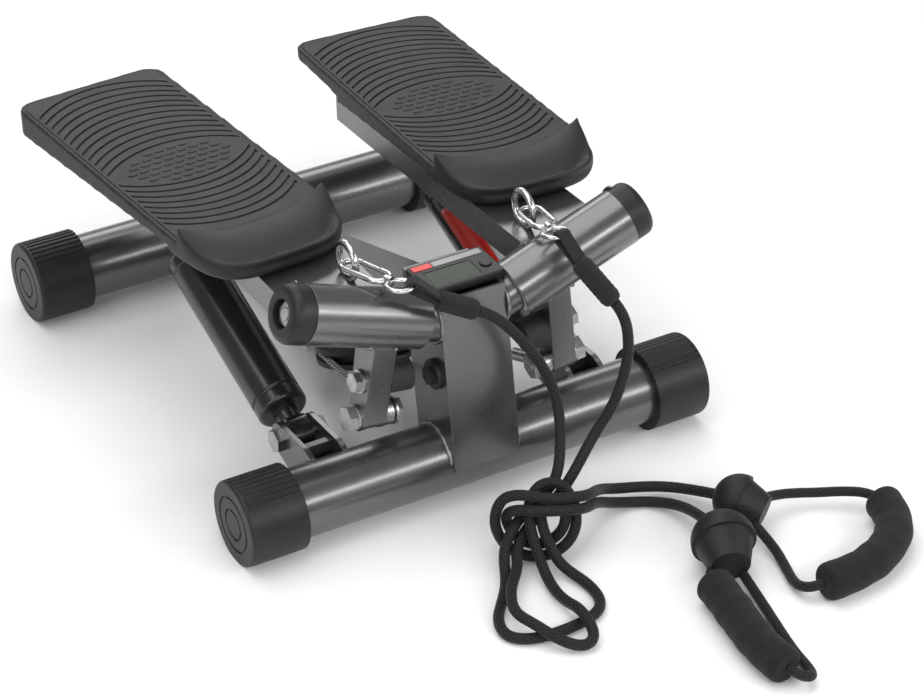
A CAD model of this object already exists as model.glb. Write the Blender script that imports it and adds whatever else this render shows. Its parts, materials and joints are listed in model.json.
import json
import math

import bmesh
import bpy
from mathutils import Matrix, Vector

# Looks of a mini stepper with elastic resistance cords. Metres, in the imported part's frame.
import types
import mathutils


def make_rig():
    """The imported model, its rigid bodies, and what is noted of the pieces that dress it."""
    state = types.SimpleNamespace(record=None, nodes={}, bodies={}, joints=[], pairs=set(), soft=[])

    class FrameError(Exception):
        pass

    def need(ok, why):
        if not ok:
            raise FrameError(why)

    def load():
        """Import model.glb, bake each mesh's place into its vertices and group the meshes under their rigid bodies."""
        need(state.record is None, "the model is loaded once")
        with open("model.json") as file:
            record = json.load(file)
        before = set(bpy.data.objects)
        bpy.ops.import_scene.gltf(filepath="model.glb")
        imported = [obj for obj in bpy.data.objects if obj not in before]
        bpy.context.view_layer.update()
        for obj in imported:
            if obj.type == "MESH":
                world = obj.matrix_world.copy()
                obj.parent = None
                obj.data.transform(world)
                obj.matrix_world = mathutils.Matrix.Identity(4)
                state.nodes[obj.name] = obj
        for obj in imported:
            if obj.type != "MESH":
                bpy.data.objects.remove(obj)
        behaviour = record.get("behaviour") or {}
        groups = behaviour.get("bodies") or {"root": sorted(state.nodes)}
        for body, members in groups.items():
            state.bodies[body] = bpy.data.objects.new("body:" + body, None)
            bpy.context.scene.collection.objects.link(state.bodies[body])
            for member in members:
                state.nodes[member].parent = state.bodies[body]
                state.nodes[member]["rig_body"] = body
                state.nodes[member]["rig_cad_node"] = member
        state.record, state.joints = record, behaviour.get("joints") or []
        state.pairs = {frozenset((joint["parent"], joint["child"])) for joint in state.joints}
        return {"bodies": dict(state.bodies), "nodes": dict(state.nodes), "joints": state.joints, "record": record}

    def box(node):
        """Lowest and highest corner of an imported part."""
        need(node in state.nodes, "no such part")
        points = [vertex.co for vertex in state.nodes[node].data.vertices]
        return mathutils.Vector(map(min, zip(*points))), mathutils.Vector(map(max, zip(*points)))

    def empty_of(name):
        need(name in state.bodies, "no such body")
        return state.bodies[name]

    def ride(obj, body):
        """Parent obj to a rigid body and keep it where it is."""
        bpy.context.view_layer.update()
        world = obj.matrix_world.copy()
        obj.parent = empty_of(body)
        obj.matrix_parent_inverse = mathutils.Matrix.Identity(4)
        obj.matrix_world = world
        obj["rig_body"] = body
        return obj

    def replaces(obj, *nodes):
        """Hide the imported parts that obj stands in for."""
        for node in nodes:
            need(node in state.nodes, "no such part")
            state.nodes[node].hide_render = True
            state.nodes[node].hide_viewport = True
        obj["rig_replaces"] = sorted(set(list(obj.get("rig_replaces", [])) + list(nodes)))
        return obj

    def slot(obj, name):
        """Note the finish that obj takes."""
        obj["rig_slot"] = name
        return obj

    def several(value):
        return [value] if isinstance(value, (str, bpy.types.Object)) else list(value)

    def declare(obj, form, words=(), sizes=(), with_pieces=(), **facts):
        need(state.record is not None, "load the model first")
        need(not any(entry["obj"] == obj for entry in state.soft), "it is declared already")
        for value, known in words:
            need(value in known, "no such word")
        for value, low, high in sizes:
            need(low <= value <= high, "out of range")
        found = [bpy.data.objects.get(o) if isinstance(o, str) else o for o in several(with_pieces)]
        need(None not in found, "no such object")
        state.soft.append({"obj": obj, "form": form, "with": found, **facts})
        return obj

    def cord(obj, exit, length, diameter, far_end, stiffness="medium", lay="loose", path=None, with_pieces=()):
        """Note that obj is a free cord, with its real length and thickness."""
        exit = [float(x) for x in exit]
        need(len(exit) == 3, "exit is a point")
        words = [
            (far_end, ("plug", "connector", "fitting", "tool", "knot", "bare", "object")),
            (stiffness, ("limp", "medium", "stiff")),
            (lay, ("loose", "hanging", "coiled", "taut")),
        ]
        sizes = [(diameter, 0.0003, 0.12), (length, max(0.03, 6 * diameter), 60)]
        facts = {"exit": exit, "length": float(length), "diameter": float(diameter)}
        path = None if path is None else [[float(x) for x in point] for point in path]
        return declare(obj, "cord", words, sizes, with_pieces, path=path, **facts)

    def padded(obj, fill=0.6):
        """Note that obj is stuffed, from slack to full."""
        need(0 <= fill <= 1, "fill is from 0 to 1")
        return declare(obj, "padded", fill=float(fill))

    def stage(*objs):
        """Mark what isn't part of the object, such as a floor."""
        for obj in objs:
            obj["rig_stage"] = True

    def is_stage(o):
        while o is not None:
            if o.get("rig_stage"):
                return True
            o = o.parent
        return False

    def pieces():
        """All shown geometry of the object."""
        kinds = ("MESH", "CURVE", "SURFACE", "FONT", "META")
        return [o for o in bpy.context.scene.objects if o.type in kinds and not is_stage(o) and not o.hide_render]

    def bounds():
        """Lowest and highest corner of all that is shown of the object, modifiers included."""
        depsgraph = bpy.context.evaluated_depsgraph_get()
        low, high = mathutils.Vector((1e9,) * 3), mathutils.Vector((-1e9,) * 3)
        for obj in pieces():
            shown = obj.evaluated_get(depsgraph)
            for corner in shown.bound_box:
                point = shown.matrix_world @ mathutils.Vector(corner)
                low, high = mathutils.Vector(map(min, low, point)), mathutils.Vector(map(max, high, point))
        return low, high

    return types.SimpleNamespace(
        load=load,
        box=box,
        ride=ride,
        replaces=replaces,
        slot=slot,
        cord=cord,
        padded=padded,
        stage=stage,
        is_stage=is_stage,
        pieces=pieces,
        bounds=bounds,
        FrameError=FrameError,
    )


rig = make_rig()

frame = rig.load()
cad_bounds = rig.bounds()
scene = bpy.context.scene

# ---------------------------------------------------------------- driving sizes
CROSSBAR_Y = 0.1745
CROSSBAR_Z = 0.0295
CROSSBAR_RADIUS = 0.025
POST_HALF_WIDTH = 0.026
PIVOT_Y = -0.1685
PIVOT_Z = 0.1316
PIVOT_TILT = math.radians(20)
PIVOT_TUBE_RADIUS = 0.0212
PEDAL_SPLAY = math.radians(3.3)
HEEL_X = 0.1171
HEEL_Y = 0.1989
LIP_CENTRE_OFFSET = 0.004
LIP_START_RADIUS = 0.248
CORD_DIAMETER = 0.0076
HANDLE_CORD_DIAMETER = 0.007
FOAM_DIAMETER = 0.027
SLEEVE_DIAMETER = 0.016
STRAP_HALF_WIDTH = 0.0045
STRAP_THICKNESS = 0.0018
STRAP_TURN_RADIUS = 0.0041
LABEL_RADIUS = 0.01872
LABEL_THICKNESS = 0.0004
SIDES = (("left", -1), ("right", 1))


# ---------------------------------------------------------------- camera, light and floor
def make_camera():
    azimuth, elevation, roll = math.radians(-30.33), math.radians(33.94), math.radians(0.29)
    target = Vector((0.03333, -0.1083, 0.06083))
    distance = 2.207
    back = Vector((math.sin(azimuth) * math.cos(elevation), -math.cos(azimuth) * math.cos(elevation),
                   math.sin(elevation)))
    level = Vector((math.cos(azimuth), math.sin(azimuth), 0))
    upright = back.cross(level)
    right = level * math.cos(roll) + upright * math.sin(roll)
    up = upright * math.cos(roll) - level * math.sin(roll)
    data = bpy.data.cameras.new("camera")
    data.lens, data.sensor_width = 120, 36
    data.clip_end = 50
    camera = bpy.data.objects.new("camera", data)
    axes = Matrix((right, up, back)).transposed().to_4x4()
    camera.matrix_world = Matrix.Translation(target + back * distance) @ axes
    scene.collection.objects.link(camera)
    scene.camera = camera


def area_light(name, place, aim, size, power):
    data = bpy.data.lights.new(name, "AREA")
    data.shape = "RECTANGLE"
    data.size, data.size_y = size
    data.energy = power
    light = bpy.data.objects.new(name, data)
    toward = (Vector(aim) - Vector(place)).to_track_quat("-Z", "Y")
    light.matrix_world = Matrix.Translation(place) @ toward.to_matrix().to_4x4()
    scene.collection.objects.link(light)


def make_studio():
    """Large soft lights round the part, and a dimmer white world."""
    area_light("overhead", (-0.2, 0.2, 1.7), (0, -0.05, 0), (2.2, 1.8), 24)
    area_light("left_window", (-1.5, -0.7, 1.1), (0, -0.1, 0.1), (0.8, 1.2), 7)
    area_light("right_fill", (1.4, -1.1, 0.8), (0, -0.1, 0.1), (0.9, 0.9), 6)
    area_light("front_strip", (0.1, -1.35, 0.75), (0, -0.15, 0.05), (2.2, 0.22), 11)
    area_light("back_rim", (0.5, 1.6, 1.0), (0, 0, 0.1), (1.4, 0.6), 8)
    world = bpy.data.worlds.new("studio")
    scene.world = world
    world.use_nodes = True
    background = world.node_tree.nodes["Background"]
    background.inputs["Color"].default_value = (1, 1, 1, 1)
    background.inputs["Strength"].default_value = 0.32
    scene.view_settings.view_transform = "Standard"


def make_floor():
    mesh = bpy.data.meshes.new("floor")
    reach = 6
    corners = [(-reach, -reach, 0), (reach, -reach, 0), (reach, reach, 0), (-reach, reach, 0)]
    mesh.from_pydata(corners, [], [(0, 1, 2, 3)])
    floor = bpy.data.objects.new("floor", mesh)
    scene.collection.objects.link(floor)
    material = bpy.data.materials.new("floor_white")
    material.use_nodes = True
    shader = material.node_tree.nodes["Principled BSDF"]
    shader.inputs["Base Color"].default_value = (0.93, 0.93, 0.93, 1)
    shader.inputs["Roughness"].default_value = 0.55
    shader.inputs["Specular IOR Level"].default_value = 0.2
    mesh.materials.append(material)
    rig.stage(floor)


make_camera()
make_studio()
make_floor()


# ---------------------------------------------------------------- material building blocks
class Recipe:
    """One principled material and short names for the nodes that go into it."""

    def __init__(self, name):
        self.material = bpy.data.materials.new(name)
        self.material.use_nodes = True
        self.tree = self.material.node_tree
        self.shader = self.tree.nodes["Principled BSDF"]

    def node(self, kind, **settings):
        node = self.tree.nodes.new(kind)
        for key, value in settings.items():
            setattr(node, key, value)
        return node

    def link(self, output, target):
        self.tree.links.new(output, target)

    def set(self, **values):
        for key, value in values.items():
            self.shader.inputs[key.replace("_", " ")].default_value = value
        return self

    def coordinates(self, kind="Object"):
        return self.node("ShaderNodeTexCoord").outputs[kind]

    def noise(self, scale, detail=4, stretch=None):
        texture = self.node("ShaderNodeTexNoise")
        texture.inputs["Scale"].default_value = scale
        texture.inputs["Detail"].default_value = detail
        place = self.coordinates()
        if stretch:
            mapping = self.node("ShaderNodeMapping")
            mapping.inputs["Scale"].default_value = stretch
            self.link(place, mapping.inputs["Vector"])
            place = mapping.outputs["Vector"]
        self.link(place, texture.inputs["Vector"])
        return texture.outputs["Fac"]

    def ramp(self, source, stops):
        ramp = self.node("ShaderNodeValToRGB")
        elements = ramp.color_ramp.elements
        while len(elements) < len(stops):
            elements.new(0.5)
        for element, (place, colour) in zip(elements, stops):
            element.position = place
            element.color = (*colour, 1)
        self.link(source, ramp.inputs["Fac"])
        return ramp.outputs["Color"]

    def tones(self, source, dark, light, low=0.3, high=0.7):
        """The base colour, between a dark and a light tone."""
        self.link(self.ramp(source, [(low, dark), (high, light)]), self.shader.inputs["Base Color"])

    def roughness(self, source, low, high):
        spread = self.node("ShaderNodeMapRange")
        spread.inputs["To Min"].default_value = low
        spread.inputs["To Max"].default_value = high
        self.link(source, spread.inputs["Value"])
        self.link(spread.outputs["Result"], self.shader.inputs["Roughness"])

    def math(self, operation, first, second=None):
        node = self.node("ShaderNodeMath", operation=operation)
        for socket, value in zip(node.inputs, (first, second)):
            if value is None:
                continue
            if isinstance(value, (int, float)):
                socket.default_value = value
            else:
                self.link(value, socket)
        return node.outputs["Value"]

    def bump(self, *layers, soften=None):
        """Bumps from (height source, distance in metres) layers, over softened edges if asked."""
        normal = None
        if soften:
            bevel = self.node("ShaderNodeBevel", samples=4)
            bevel.inputs["Radius"].default_value = soften
            normal = bevel.outputs["Normal"]
        for source, distance in layers:
            bump = self.node("ShaderNodeBump")
            bump.inputs["Distance"].default_value = distance
            bump.inputs["Strength"].default_value = 1.0
            self.link(source, bump.inputs["Height"])
            if normal:
                self.link(normal, bump.inputs["Normal"])
            normal = bump.outputs["Normal"]
        self.link(normal, self.shader.inputs["Normal"])


def grey(value, tint=(0, 0, 0)):
    return tuple(value + extra for extra in tint)


# ---------------------------------------------------------------- materials
def gloss_paint(name, dark, light, metallic, rough, flakes=True):
    """Powder coat: very fine orange peel, faint metallic flake, softened edges."""
    recipe = Recipe(name).set(Metallic=metallic, Coat_Weight=0.35, Coat_Roughness=0.12)
    recipe.tones(recipe.noise(2600 if flakes else 60, 2), dark, light)
    recipe.roughness(recipe.noise(35, 5), rough - 0.06, rough + 0.08)
    recipe.bump((recipe.noise(420, 3), 0.00002), soften=0.0009)
    return recipe.material


def moulded_plastic(name, dark, light, rough, grain=1500, depth=0.00008):
    """Matte moulding: mottled tone, fine surface grain, softened edges."""
    recipe = Recipe(name).set(Specular_IOR_Level=0.35)
    recipe.tones(recipe.noise(45, 5), dark, light)
    recipe.roughness(recipe.noise(90, 4), rough - 0.05, rough + 0.08)
    recipe.bump((recipe.noise(grain, 2), depth), soften=0.0007)
    return recipe.material


def bare_steel(name, dark, light, rough, scratch=(1, 1, 1)):
    """Plain or plated steel, its tone and roughness a little uneven."""
    recipe = Recipe(name).set(Metallic=1.0)
    recipe.tones(recipe.noise(160, 6, stretch=scratch), dark, light)
    recipe.roughness(recipe.noise(240, 5, stretch=scratch), rough - 0.06, rough + 0.12)
    recipe.bump((recipe.noise(900, 3, stretch=scratch), 0.00003), soften=0.0004)
    return recipe.material


def wire_rope(name):
    """Twisted steel strands: slanting ridges two millimetres apart."""
    recipe = Recipe(name).set(Metallic=1.0)
    waves = recipe.node("ShaderNodeTexWave", wave_type="BANDS", bands_direction="DIAGONAL")
    waves.inputs["Scale"].default_value = 130
    waves.inputs["Distortion"].default_value = 0.4
    recipe.link(recipe.coordinates(), waves.inputs["Vector"])
    recipe.tones(waves.outputs["Fac"], grey(0.10), grey(0.46), 0.2, 0.8)
    recipe.roughness(recipe.noise(400, 3), 0.3, 0.5)
    recipe.bump((waves.outputs["Fac"], 0.0005))
    return recipe.material


def braid(name, dark, light, around, pitch, depth):
    """A braided sheath on a tube whose UV map runs along (metres) and round (0 to 1)."""
    recipe = Recipe(name).set(Specular_IOR_Level=0.25, Sheen_Weight=0.06, Sheen_Roughness=0.45)
    split = recipe.node("ShaderNodeSeparateXYZ")
    recipe.link(recipe.coordinates("UV"), split.inputs["Vector"])
    along = recipe.math("MULTIPLY", split.outputs["X"], 2 * math.pi / pitch)
    turn = recipe.math("MULTIPLY", split.outputs["Y"], 2 * math.pi * around)
    rising = recipe.math("SINE", recipe.math("ADD", along, turn))
    falling = recipe.math("SINE", recipe.math("SUBTRACT", along, turn))
    weave = recipe.math("MAXIMUM", rising, falling)
    height = recipe.math("ADD", recipe.math("MULTIPLY", weave, 0.5), 0.5)
    recipe.tones(height, dark, light, 0.35, 1.0)
    recipe.roughness(recipe.noise(500, 3), 0.47, 0.65)
    recipe.bump((height, depth), (recipe.noise(2500, 2), 0.00008))
    return recipe.material


def woven_tape(name, dark, light):
    """Narrow webbing: ribs across a strip whose UV map is in metres."""
    recipe = Recipe(name).set(Specular_IOR_Level=0.25, Sheen_Weight=0.08, Sheen_Roughness=0.5)
    split = recipe.node("ShaderNodeSeparateXYZ")
    recipe.link(recipe.coordinates("UV"), split.inputs["Vector"])
    ribs = recipe.math("SINE", recipe.math("MULTIPLY", split.outputs["X"], 2 * math.pi / 0.0011))
    warp = recipe.math("SINE", recipe.math("MULTIPLY", split.outputs["Y"], 2 * math.pi / 0.0009))
    height = recipe.math("ADD", recipe.math("MULTIPLY", recipe.math("MULTIPLY", ribs, warp), 0.5), 0.5)
    recipe.tones(height, dark, light)
    recipe.roughness(recipe.noise(700, 3), 0.6, 0.8)
    recipe.bump((height, 0.00025))
    return recipe.material


def foam_rubber(name):
    """Closed-cell foam: dark, matte, with fine open pores."""
    recipe = Recipe(name).set(Specular_IOR_Level=0.2, Sheen_Weight=0.05, Sheen_Roughness=0.6)
    cells = recipe.node("ShaderNodeTexVoronoi")
    cells.inputs["Scale"].default_value = 900
    recipe.link(recipe.coordinates(), cells.inputs["Vector"])
    recipe.tones(recipe.noise(700, 4), grey(0.006), grey(0.017))
    recipe.roughness(recipe.noise(300, 3), 0.78, 0.92)
    recipe.bump((cells.outputs["Distance"], 0.00025), (recipe.noise(160, 3), 0.00015))
    return recipe.material


def liquid_crystal(name):
    """A switched-off display: dark green, faintly mottled."""
    recipe = Recipe(name).set(Specular_IOR_Level=0.3, Coat_Weight=0.1, Coat_Roughness=0.3)
    recipe.tones(recipe.noise(80, 3), (0.006, 0.016, 0.004), (0.012, 0.025, 0.008))
    recipe.roughness(recipe.noise(50, 2), 0.2, 0.3)
    recipe.bump((recipe.noise(1800, 2), 0.00002))
    return recipe.material


frame_paint = gloss_paint("frame_paint", grey(0.125), grey(0.155, (0, 0.001, 0.003)), 0.85, 0.28)
swing_paint = gloss_paint("swing_paint", grey(0.14), grey(0.175, (0, 0.001, 0.003)), 0.85, 0.27)
cylinder_paint = gloss_paint("cylinder_paint", grey(0.010), grey(0.018), 0.1, 0.28, flakes=False)
label_red = gloss_paint("label_red", (0.60, 0.022, 0.014), (0.70, 0.032, 0.020), 0.0, 0.35,
                        flakes=False)
label_white = gloss_paint("label_white", grey(0.62), grey(0.70), 0.0, 0.35, flakes=False)
cap_plastic = moulded_plastic("cap_plastic", grey(0.009), grey(0.015), 0.42)
pedal_plastic = moulded_plastic("pedal_plastic", grey(0.011), grey(0.016), 0.50, 2200, 0.00010)
tread_plastic = moulded_plastic("tread_plastic", grey(0.021), grey(0.029), 0.54, 2200, 0.00012)
pulley_plastic = moulded_plastic("pulley_plastic", grey(0.012), grey(0.022), 0.4)
console_plastic = moulded_plastic("console_plastic", grey(0.008), grey(0.013), 0.3, 900, 0.00002)
stopper_plastic = moulded_plastic("stopper_plastic", grey(0.007), grey(0.013), 0.5, 700, 0.0002)
bush_nylon = moulded_plastic("bush_nylon", grey(0.55), grey(0.65), 0.45)
strip_grey = moulded_plastic("strip_grey", grey(0.30), grey(0.36), 0.4)
bumper_rubber = moulded_plastic("bumper_rubber", grey(0.014), grey(0.028), 0.62, 1200, 0.00015)
zinc_steel = bare_steel("zinc_steel", grey(0.36), grey(0.56), 0.30)
bright_wire = bare_steel("bright_wire", grey(0.52), grey(0.68), 0.16)
polished_rod = bare_steel("polished_rod", grey(0.58), grey(0.72), 0.12, (1, 0.2, 0.6))
weld_metal = bare_steel("weld_metal", grey(0.16), grey(0.34), 0.32)
cable_steel = wire_rope("cable_steel")
cord_braid = braid("cord_braid", grey(0.004), grey(0.013), 8, 0.0052, 0.0004)
webbing = woven_tape("webbing", grey(0.006), grey(0.016))
grip_foam = foam_rubber("grip_foam")
screen_face = liquid_crystal("screen_face")

NODE_MATERIALS = {
    "front_crossbar rear_crossbar upright_post main_beam cylinder_brackets inner_collars": frame_paint,
    "left_pivot_tube right_pivot_tube left_pedal_arm right_pedal_arm left_lever right_lever": swing_paint,
    "front_foot_caps rear_foot_caps post_plug left_hub_cap right_hub_cap": cap_plastic,
    "pivot_axle hub_nuts lower_pins left_upper_pin right_upper_pin pulley_spacer pulley_bolt": zinc_steel,
    "left_lever_bolts right_lever_bolts left_cable_eye right_cable_eye": zinc_steel,
    "left_pivot_bushes right_pivot_bushes": bush_nylon,
    "left_pedal right_pedal": pedal_plastic,
    "left_tread right_tread": tread_plastic,
    "left_bumper right_bumper": bumper_rubber,
    "left_eyelet right_eyelet left_hook right_hook left_hook_gate right_hook_gate": bright_wire,
    "left_cylinder_barrel right_cylinder_barrel": cylinder_paint,
    "left_piston_rod right_piston_rod": polished_rod,
    "pulley": pulley_plastic,
    "drive_cable": cable_steel,
    "display_console mode_button": console_plastic,
    "display_screen": screen_face,
    "cord_stoppers": stopper_plastic,
}


def dress_cad_nodes():
    """Every CAD node gets its one material."""
    for names, material in NODE_MATERIALS.items():
        for name in names.split():
            slots = frame["nodes"][name].data.materials
            slots.clear()
            slots.append(material)


# ---------------------------------------------------------------- tubes along a cord's spline
def spline_points(name, points, density=10):
    """Points along a smooth NURBS line through the route's control points."""
    curve = bpy.data.curves.new(name + "_line", "CURVE")
    curve.dimensions = "3D"
    curve.resolution_u = density
    spline = curve.splines.new("NURBS")
    spline.points.add(len(points) - 1)
    for control, point in zip(spline.points, points):
        control.co = (*point, 1)
    spline.order_u = 3
    spline.use_endpoint_u = True
    line = bpy.data.objects.new(name + "_line", curve)
    scene.collection.objects.link(line)
    mesh = bpy.data.meshes.new_from_object(line)
    path = [vertex.co.copy() for vertex in mesh.vertices]
    bpy.data.objects.remove(line)
    bpy.data.meshes.remove(mesh)
    return path


def transported_frames(path):
    """A side and an up vector for each point, carried along without twist."""
    tangents = []
    for index, point in enumerate(path):
        before, after = path[max(index - 1, 0)], path[min(index + 1, len(path) - 1)]
        tangents.append((after - before).normalized())
    side = tangents[0].orthogonal().normalized()
    frames = []
    for tangent in tangents:
        side = (side - tangent * side.dot(tangent)).normalized()
        frames.append((side, tangent.cross(side)))
    return frames


def link_mesh(name, vertices, faces, material, uvs=None, smooth=True):
    """A new object from vertices and faces, with one UV pair for each face corner if given."""
    mesh = bpy.data.meshes.new(name)
    mesh.from_pydata([tuple(vertex) for vertex in vertices], [], faces)
    if uvs:
        layer = mesh.uv_layers.new(name="UVMap")
        for loop, uv in zip(layer.data, uvs):
            loop.uv = uv
    mesh.polygons.foreach_set("use_smooth", [smooth] * len(mesh.polygons))
    mesh.materials.append(material)
    piece = bpy.data.objects.new(name, mesh)
    scene.collection.objects.link(piece)
    return piece


def tube_mesh(name, path, radius_at, material, sides=20):
    """A closed tube along a path. radius_at gives the radius at a share of the length."""
    frames = transported_frames(path)
    run = [0.0]
    for before, after in zip(path, path[1:]):
        run.append(run[-1] + (after - before).length)
    vertices, faces, uvs = [], [], []
    for point, (side, up), travelled in zip(path, frames, run):
        radius = radius_at(travelled / run[-1])
        for step in range(sides):
            angle = 2 * math.pi * step / sides
            vertices.append(point + (side * math.cos(angle) + up * math.sin(angle)) * radius)
    for row in range(len(path) - 1):
        for step in range(sides):
            after = (step + 1) % sides
            first, second = row * sides, (row + 1) * sides
            faces.append((first + step, first + after, second + after, second + step))
            start, end = step / sides, (step + 1) / sides
            uvs += [(run[row], start), (run[row], end), (run[row + 1], end), (run[row + 1], start)]
    faces.append(tuple(reversed(range(sides))))
    faces.append(tuple(range(len(vertices) - sides, len(vertices))))
    uvs += [(0, 0.5)] * (2 * sides)
    return link_mesh(name, vertices, faces, material, uvs)


# ---------------------------------------------------------------- elastic cords and their handles
def metres(*points):
    return [tuple(value / 1000 for value in point) for point in points]


left_cord_route = metres(
    (-10, -202, 162), (0, -205.2, 157.2), (14, -208, 142), (25, -216, 126), (34, -222, 108),
    (38, -229, 90), (35, -240, 72), (20.8, -261.1, 50.9), (7.6, -261.5, 38.6), (-7.7, -262.1, 30.2),
    (-23.1, -270.5, 25.3), (-31.6, -275.7, 13.9), (-39, -293, 4.5), (-51, -308, 4), (-65, -324, 4),
    (-69, -341, 4), (-59, -352, 4), (-38, -356, 4), (-10, -354, 4), (5, -345, 4), (8.9, -324.7, 4),
    (-0.1, -299.5, 7.4), (-2.8, -290.7, 18.2), (-2.9, -279.2, 27.4), (0.3, -270.1, 39.8),
    (9, -272.9, 45.7), (14.7, -280.8, 41.5), (10.4, -286.5, 24.2), (-3.1, -277.2, 10.4),
    (-14.8, -263.8, 13), (-20.4, -257.7, 28.9), (-18.6, -266.2, 40.4), (-7.4, -278.7, 42.7),
    (3.5, -285.5, 43.4), (23.6, -291.3, 41.4), (48, -266.4, 22.1), (66, -259, 10.1), (82, -259, 4.5),
    (95, -265, 4.2), (105, -280, 8), (106, -303, 16), (102.7, -325.8, 22))

right_cord_route = metres(
    (79, -233, 158), (84.6, -240, 148.9), (82, -250, 128), (75, -254, 107), (65, -256, 88),
    (53, -255, 72), (28.8, -265.5, 50.8), (16.2, -266.1, 36.5), (2.7, -264.7, 26.4),
    (-12.6, -270.4, 21.4), (-23.3, -279, 15), (-29, -291, 11), (-46, -309, 12), (-56, -330, 11),
    (-52, -352, 14), (-41.5, -369.6, 7.7), (-29, -378.3, 4.7), (-18.5, -373.9, 7.6), (-17, -353, 14),
    (-18, -331, 7), (-14, -306, 4), (-11.2, -287.2, 14.6), (-10.3, -275.5, 27.8), (-6.9, -265.9, 40.4),
    (3.9, -262.8, 51.9), (17.2, -270.3, 53.1), (23.3, -279.9, 38.4), (17.8, -289.9, 22.5),
    (4.2, -288, 8.8), (-12.4, -277.8, 4.2), (-25.1, -265.8, 11.8), (-29.6, -258.6, 28.4),
    (-23.7, -257.5, 45), (-14.1, -264.8, 50.8), (-2.5, -274.7, 49.6), (7.6, -282.3, 50.1),
    (30, -285.5, 46.5), (55.4, -257.4, 24.8), (74.6, -250.8, 13.7), (92, -254, 11), (110, -259, 8),
    (124, -273, 9), (130, -294.5, 16.4))

left_foam_route = metres(
    (74, -372, 13.5), (72.8, -384, 13.5), (70, -403, 13.5), (66, -428, 13.5), (64, -452, 13.5),
    (67, -470, 13.5))
right_foam_route = metres(
    (228, -353, 13.5), (225, -371, 13.5), (213, -389, 13.5), (196, -401, 13.5), (178, -408, 13.5),
    (157, -411, 13.5), (138, -410, 13.5))
left_handle_route = metres((81.5, -360.4, 15.8), (76.5, -365, 14)) + left_foam_route + metres(
    (71, -480, 12), (79, -481, 9), (84, -471, 6), (87, -449, 4), (93, -420, 4), (98, -397, 4),
    (101, -377, 6), (101.1, -366.2, 9.6))
right_handle_route = metres(
    (155.3, -317.1, 19), (166, -315, 16), (180, -316, 13), (196, -323, 12), (212, -331, 12.5),
    (224, -341, 13.5)) + right_foam_route + metres(
    (128, -406, 11), (127, -393, 6), (134, -373, 4), (139, -351, 6), (135.6, -330, 13.3))


def path_length(path):
    return sum((after - before).length for before, after in zip(path, path[1:]))


def cord_piece(name, route, diameter):
    """A braided cord that stands for the CAD tube of the same name."""
    path = spline_points(name, route)
    piece = tube_mesh(name + "_braid", path, lambda share: diameter / 2, cord_braid)
    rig.ride(piece, "base")
    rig.replaces(piece, name)
    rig.slot(piece, "cord_braid")
    return piece, path


def foam_grip(name, route):
    """A foam sleeve with rounded ends and a slight swell, round the handle's cord."""
    path = spline_points(name, route, 14)
    length = path_length(path)
    rounding = 0.0045

    def radius_at(share):
        from_end = min(share, 1 - share) * length
        swell = 0.0002 * math.sin(share * 23) + 0.0002 * math.sin(share * 41 + 1)
        full = FOAM_DIAMETER / 2 - 0.0004 + swell
        if from_end >= rounding:
            return full
        drop = 1 - math.sqrt(max(0.0, 1 - (1 - from_end / rounding) ** 2))
        return full - drop * rounding

    first_end = [path[0].lerp(path[1], step / 5) for step in range(5)]
    last_end = [path[-2].lerp(path[-1], step / 5) for step in range(1, 6)]
    piece = tube_mesh(name + "_foam", first_end + path[1:-1] + last_end, radius_at, grip_foam, 36)
    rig.ride(piece, "base")
    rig.replaces(piece, name)
    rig.slot(piece, "grip_foam")
    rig.padded(piece, fill=0.9)
    return piece


# ---------------------------------------------------------------- straps and sleeves on the hooks
def strap_outline(eye_side, run, direction, lift):
    """Round the hook's eye, down one side to the sleeve and back up the other, pinched at the sleeve."""
    outline = []
    for step in range(17):
        angle = math.pi / 2 + math.pi * step / 16
        outward = direction * math.cos(angle) + lift * math.sin(angle)
        outline.append(eye_side + outward * STRAP_TURN_RADIUS)
    for step in range(1, 9):
        share = step / 8
        outline.append(eye_side + run * share - lift * (STRAP_TURN_RADIUS * (1 - 0.55 * share)))
    for step in range(8):
        share = 1 - step / 8
        outline.append(eye_side + run * share + lift * STRAP_TURN_RADIUS * (1 - 0.55 * share))
    return outline


def strap_loop(name, eye_side, sleeve_side, across):
    """A flat webbing loop: a long slot outline swept across its width."""
    run = sleeve_side - eye_side
    direction = run.normalized()
    across = (across - direction * across.dot(direction)).normalized()
    outline = strap_outline(eye_side, run, direction, direction.cross(across))
    count = len(outline)
    vertices, faces, uvs = [], [], []
    travelled = [0.0]
    for before, after in zip(outline, outline[1:] + outline[:1]):
        travelled.append(travelled[-1] + (after - before).length)
    for index, point in enumerate(outline):
        before, after = outline[index - 1], outline[(index + 1) % count]
        outward = (after - before).normalized().cross(across)
        for offset in (STRAP_THICKNESS / 2, -STRAP_THICKNESS / 2):
            for edge in (STRAP_HALF_WIDTH, -STRAP_HALF_WIDTH):
                vertices.append(point + outward * offset + across * edge)
    sides = ((0, 1, 2 * STRAP_HALF_WIDTH), (1, 3, STRAP_THICKNESS),
             (3, 2, 2 * STRAP_HALF_WIDTH), (2, 0, STRAP_THICKNESS))
    for index in range(count):
        first, second = index * 4, ((index + 1) % count) * 4
        for start, end, width in sides:
            faces.append((first + start, first + end, second + end, second + start))
            uvs += [(travelled[index], 0), (travelled[index], width),
                    (travelled[index + 1], width), (travelled[index + 1], 0)]
    return link_mesh(name, vertices, faces, webbing, uvs, smooth=False)


def sleeve_tube(name, start, end):
    """A stitched webbing sleeve, gathered a little at both mouths."""
    path = [start.lerp(end, step / 24) for step in range(25)]

    def radius_at(share):
        mouth = min(share, 1 - share) * 2
        gather = 0.0016 * math.exp(-(mouth / 0.10) ** 2)
        ridge = 0.0002 * math.sin(share * 60)
        return SLEEVE_DIAMETER / 2 - 0.0008 - gather + ridge

    return tube_mesh(name, path, radius_at, webbing, 28)


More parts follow.
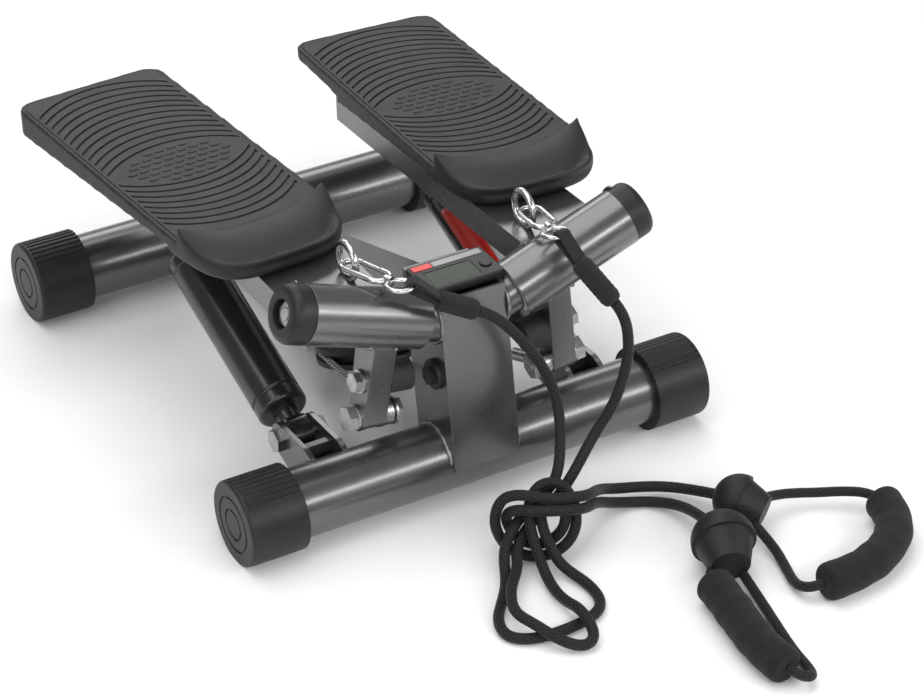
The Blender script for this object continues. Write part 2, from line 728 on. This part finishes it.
def strap_and_sleeve(side, eye_side, start, end, across):
    """The webbing loop in the hook's eye and the sleeve it runs into, from places in millimetres."""
    eye_side, start, end = (Vector(point) for point in metres(eye_side, start, end))
    loop = strap_loop(side + "_strap_loop", eye_side, start + (end - start) * 0.12, Vector(across))
    sleeve = sleeve_tube(side + "_sleeve_tube", start, end)
    for piece in (loop, sleeve):
        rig.ride(piece, "base")
        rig.replaces(piece, side + "_strap_sleeve")
        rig.slot(piece, "strap_webbing")
    return [loop, sleeve]


left_strap = strap_and_sleeve("left", (-49.5, -185.9, 185.7), (-35, -194, 174), (-10, -202, 162),
                              (0.3, 0.9, 0.1))
right_strap = strap_and_sleeve("right", (63.4, -190.7, 191.3), (63, -213, 184), (79, -233, 158),
                               (1, 0, 0))

left_cord, left_path = cord_piece("left_cord", left_cord_route, CORD_DIAMETER)
right_cord, right_path = cord_piece("right_cord", right_cord_route, CORD_DIAMETER)
left_handle, left_handle_path = cord_piece("left_handle_cord", left_handle_route, HANDLE_CORD_DIAMETER)
right_handle, right_handle_path = cord_piece("right_handle_cord", right_handle_route, HANDLE_CORD_DIAMETER)
left_grip = foam_grip("left_foam_grip", left_foam_route)
right_grip = foam_grip("right_foam_grip", right_foam_route)

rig.cord(left_cord, exit=left_cord_route[0], length=0.755, diameter=CORD_DIAMETER, far_end="fitting",
        stiffness="limp", path=left_path,
        with_pieces=left_strap + ["left_hook", "left_hook_gate", "cord_stoppers"])
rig.cord(right_cord, exit=right_cord_route[0], length=0.798, diameter=CORD_DIAMETER, far_end="fitting",
        stiffness="limp", path=right_path,
        with_pieces=right_strap + ["right_hook", "right_hook_gate"])
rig.cord(left_handle, exit=left_handle_route[0], length=0.245, diameter=HANDLE_CORD_DIAMETER,
        far_end="object", stiffness="limp", path=left_handle_path, with_pieces=[left_grip])
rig.cord(right_handle, exit=right_handle_route[0], length=0.293, diameter=HANDLE_CORD_DIAMETER,
        far_end="object", stiffness="limp", path=right_handle_path, with_pieces=[right_grip])


# ---------------------------------------------------------------- rounded toe cups
def evaluated_mesh(piece):
    """The piece's mesh with its modifiers applied."""
    bpy.context.view_layer.update()
    shaped = piece.evaluated_get(bpy.context.evaluated_depsgraph_get())
    return bpy.data.meshes.new_from_object(shaped)


def voxel_copy(node, name):
    """A copy of a CAD node as an even mesh of small squares, ready for smoothing."""
    voxels = bpy.data.objects.new(name + "_voxels", node.data.copy())
    voxels.matrix_world = node.matrix_world
    scene.collection.objects.link(voxels)
    remesh = voxels.modifiers.new("voxels", "REMESH")
    remesh.mode, remesh.voxel_size = "VOXEL", 0.0012
    piece = bpy.data.objects.new(name, evaluated_mesh(voxels))
    bpy.data.objects.remove(voxels)
    piece.matrix_world = node.matrix_world
    scene.collection.objects.link(piece)
    return piece


def rounded_pedal(side, sign):
    """The moulded pedal: the CAD shape with the edges of its toe cup rolled over."""
    toe_direction = Vector((-sign * math.sin(PEDAL_SPLAY), -math.cos(PEDAL_SPLAY), 0))
    lip_centre = Vector((sign * HEEL_X, HEEL_Y, 0)) + LIP_CENTRE_OFFSET * toe_direction
    piece = voxel_copy(frame["nodes"][side + "_pedal"], side + "_pedal_moulding")
    least_weight, fade, front = 0.13, 0.008, 0.2
    toe = piece.vertex_groups.new(name="toe")
    for vertex in piece.data.vertices:
        offset = piece.matrix_world @ vertex.co - lip_centre
        weight = least_weight
        if offset.dot(toe_direction) > front:
            weight = min(1.0, max(least_weight, (offset.xy.length - LIP_START_RADIUS) / fade))
        toe.add([vertex.index], weight, "REPLACE")
    smooth = piece.modifiers.new("rolled_edges", "SMOOTH")
    smooth.factor, smooth.iterations, smooth.vertex_group = 0.5, 70, "toe"
    piece.data = evaluated_mesh(piece)
    piece.modifiers.clear()
    piece.data.polygons.foreach_set("use_smooth", [True] * len(piece.data.polygons))
    piece.data.materials.clear()
    piece.data.materials.append(pedal_plastic)
    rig.ride(piece, side + "_pedal_body")
    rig.replaces(piece, side + "_pedal")
    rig.slot(piece, "pedal_plastic")


for side, sign in SIDES:
    rounded_pedal(side, sign)


# ---------------------------------------------------------------- weld beads
def weld_bead(name, points, body, radius=0.0021):
    """A rippled bead of weld metal along a seam."""
    path = []
    for before, after in zip(points, points[1:]):
        steps = max(2, int((after - before).length / 0.0007))
        path += [before.lerp(after, step / steps) for step in range(steps)]
    path.append(points[-1])
    length = path_length(path)

    def radius_at(share):
        end_taper = min(1.0, min(share, 1 - share) * length / 0.002 + 0.35)
        ripple = 0.82 + 0.18 * abs(math.sin(share * length / 0.0021 * math.pi))
        return radius * ripple * end_taper

    bead = tube_mesh(name, path, radius_at, weld_metal, 10)
    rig.ride(bead, body)
    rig.slot(bead, "frame_paint")
    return bead


def on_crossbar(x, bar_y, angle):
    """A point on a crossbar's surface; angle 0 faces the heels, 90 is on top."""
    turn = math.radians(angle)
    return Vector((x, bar_y + CROSSBAR_RADIUS * math.cos(turn),
                   CROSSBAR_Z + CROSSBAR_RADIUS * math.sin(turn)))


def crossbar_weld(name, x, bar_y, angles, radius=0.0021):
    weld_bead(name, [on_crossbar(x, bar_y, angle) for angle in angles], "base", radius)


def weld_frame():
    """Beads round the post, the beam, the cylinder brackets and the pivot collars."""
    for tag, side in SIDES:
        crossbar_weld(tag + "_post_weld", side * (POST_HALF_WIDTH + 0.0006), -CROSSBAR_Y, range(18, 166, 8))
        crossbar_weld(tag + "_beam_weld", side * 0.0256, CROSSBAR_Y, range(108, 176, 8))
        for ear, place in (("inner", 0.0891), ("outer", 0.1189)):
            crossbar_weld(f"{tag}_{ear}_ear_weld", side * place, -CROSSBAR_Y, range(-20, 50, 8), 0.0016)
        collar_z = PIVOT_Z + POST_HALF_WIDTH * math.tan(PIVOT_TILT)
        collar_radius = 0.0158
        ring = [Vector((side * (POST_HALF_WIDTH + 0.0004), PIVOT_Y + collar_radius * math.cos(angle),
                        collar_z + collar_radius / math.cos(PIVOT_TILT) * math.sin(angle)))
                for angle in (2 * math.pi * step / 36 for step in range(37))]
        weld_bead(tag + "_collar_weld", ring, "base", 0.0014)


def pivot_point(side, distance):
    return Vector((side * distance * math.cos(PIVOT_TILT), PIVOT_Y,
                   PIVOT_Z + distance * math.sin(PIVOT_TILT)))


def pivot_tube_seam(side, reach, angles):
    """Points round the lifted pivot tube, all at one distance from the middle plane."""
    axis = (pivot_point(side, 1) - pivot_point(side, 0)).normalized()
    up = Vector((0, 1, 0)).cross(axis) * -side
    up = up if up.z > 0 else -up
    seam = []
    for angle in angles:
        turn = math.radians(angle)
        radial = Vector((0, math.cos(turn), 0)) + up * math.sin(turn)
        base = pivot_point(side, 0) + radial * PIVOT_TUBE_RADIUS
        seam.append(base + axis * ((side * reach - base.x) / axis.x))
    return seam


def weld_swing_parts():
    """Beads where the pedal arm and the lever meet their pivot tube."""
    for tag, side in SIDES:
        for part, edge, reach, angles in (("arm", "inner", 0.0545, range(28, 70, 7)),
                                          ("arm", "outer", 0.1225, range(28, 70, 7)),
                                          ("lever", "inner", 0.0605, range(-130, -49, 8)),
                                          ("lever", "outer", 0.0795, range(-130, -49, 8))):
            seam = pivot_tube_seam(side, reach, angles)
            weld_bead(f"{tag}_{part}_{edge}_weld", seam, tag + "_pedal_body", 0.0015)


weld_frame()
weld_swing_parts()


# ---------------------------------------------------------------- console strip and cylinder label
def rounded_plate(name, low, high, thickness, material, rounding):
    """A thin plate with rounded corners and a softened rim, its underside at low.z."""
    mesh = bmesh.new()
    corners = [(low.x, low.y), (high.x, low.y), (high.x, high.y), (low.x, high.y)]
    outline = []
    for index, (x, y) in enumerate(corners):
        centre_x = x + (rounding if index in (0, 3) else -rounding)
        centre_y = y + (rounding if index in (0, 1) else -rounding)
        for step in range(6):
            angle = math.radians(180 + 90 * index + 18 * step)
            outline.append((centre_x + rounding * math.cos(angle), centre_y + rounding * math.sin(angle)))
    face = mesh.faces.new([mesh.verts.new((x, y, low.z)) for x, y in outline])
    raised = bmesh.ops.extrude_face_region(mesh, geom=[face])
    for vertex in (item for item in raised["geom"] if isinstance(item, bmesh.types.BMVert)):
        vertex.co.z += thickness
    middle = low.z + thickness / 2
    rim = [edge for edge in mesh.edges if all(vertex.co.z > middle for vertex in edge.verts)]
    bmesh.ops.bevel(mesh, geom=rim, offset=thickness * 0.4, segments=2, affect="EDGES")
    bmesh.ops.recalc_face_normals(mesh, faces=mesh.faces)
    data = bpy.data.meshes.new(name)
    mesh.to_mesh(data)
    mesh.free()
    data.materials.append(material)
    piece = bpy.data.objects.new(name, data)
    scene.collection.objects.link(piece)
    return piece


def console_strip():
    """A red strip and a grey one along the rear edge of the console's top."""
    low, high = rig.box("display_console")
    top = high.z - 0.0001
    strip_low, strip_high = high.y - 0.0085, high.y - 0.0025
    split = low.x + 0.018
    strips = (("console_red_strip", low.x + 0.003, split, label_red),
              ("console_grey_strip", split + 0.0006, high.x - 0.003, strip_grey))
    for name, start, end, material in strips:
        plate = rounded_plate(name, Vector((start, strip_low, top)), Vector((end, strip_high, top)),
                              0.0005, material, 0.0008)
        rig.ride(plate, "base")
        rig.slot(plate, "console_plastic")


def curved_plate(name, place, rows, columns, material):
    """A thin closed plate. place gives a point from shares along and across, and a layer of 0 or 1."""
    span = columns + 1
    layer = (rows + 1) * span
    vertices = [place(row / rows, column / columns, depth)
                for depth in (0, 1) for row in range(rows + 1) for column in range(span)]
    faces = []
    for row in range(rows):
        for column in range(columns):
            first = row * span + column
            outer = (first, first + 1, first + span + 1, first + span)
            faces.append(outer)
            faces.append(tuple(index + layer for index in reversed(outer)))
    rim = list(range(columns))
    rim += [row * span + columns for row in range(rows)]
    rim += [rows * span + columns - column for column in range(columns)]
    rim += [(rows - row) * span for row in range(rows)]
    for here, after in zip(rim, rim[1:] + rim[:1]):
        faces.append((after, here, here + layer, after + layer))
    piece = link_mesh(name, vertices, faces, material)
    mesh = bmesh.new()
    mesh.from_mesh(piece.data)
    bmesh.ops.recalc_face_normals(mesh, faces=mesh.faces)
    mesh.to_mesh(piece.data)
    mesh.free()
    return piece


def cylinder_label():
    """A plain red label with a white margin on the upper inner side of the right cylinder's barrel."""
    low_pin, top_pin = Vector((0.104, -0.1165, 0.041)), Vector((0.1098, 0.1045, 0.11))
    axis = (top_pin - low_pin).normalized()
    inward = (Vector((-1, 0, 0)) + axis * axis.x).normalized()
    up = (Vector((0, 0, 1)) - axis * axis.z).normalized()
    start, end = 0.046, 0.146
    labels = (("red_label", 18, 74, label_red), ("white_label", 74.5, 104, label_white))
    for part_name, first_angle, last_angle, material in labels:

        def place(along, across, depth):
            angle = math.radians(first_angle + (last_angle - first_angle) * across)
            outward = inward * math.cos(angle) + up * math.sin(angle)
            radius = LABEL_RADIUS - LABEL_THICKNESS * depth
            return low_pin + axis * (start + (end - start) * along) + outward * radius

        label = curved_plate("right_cylinder_" + part_name, place, 24, 14, material)
        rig.ride(label, "right_cylinder")
        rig.slot(label, "cylinder_paint")


console_strip()
cylinder_label()
dress_cad_nodes()

with open("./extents.json", "w") as record:
    json.dump({"cad": [list(corner) for corner in cad_bounds],
               "visual": [list(corner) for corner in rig.bounds()]}, record)
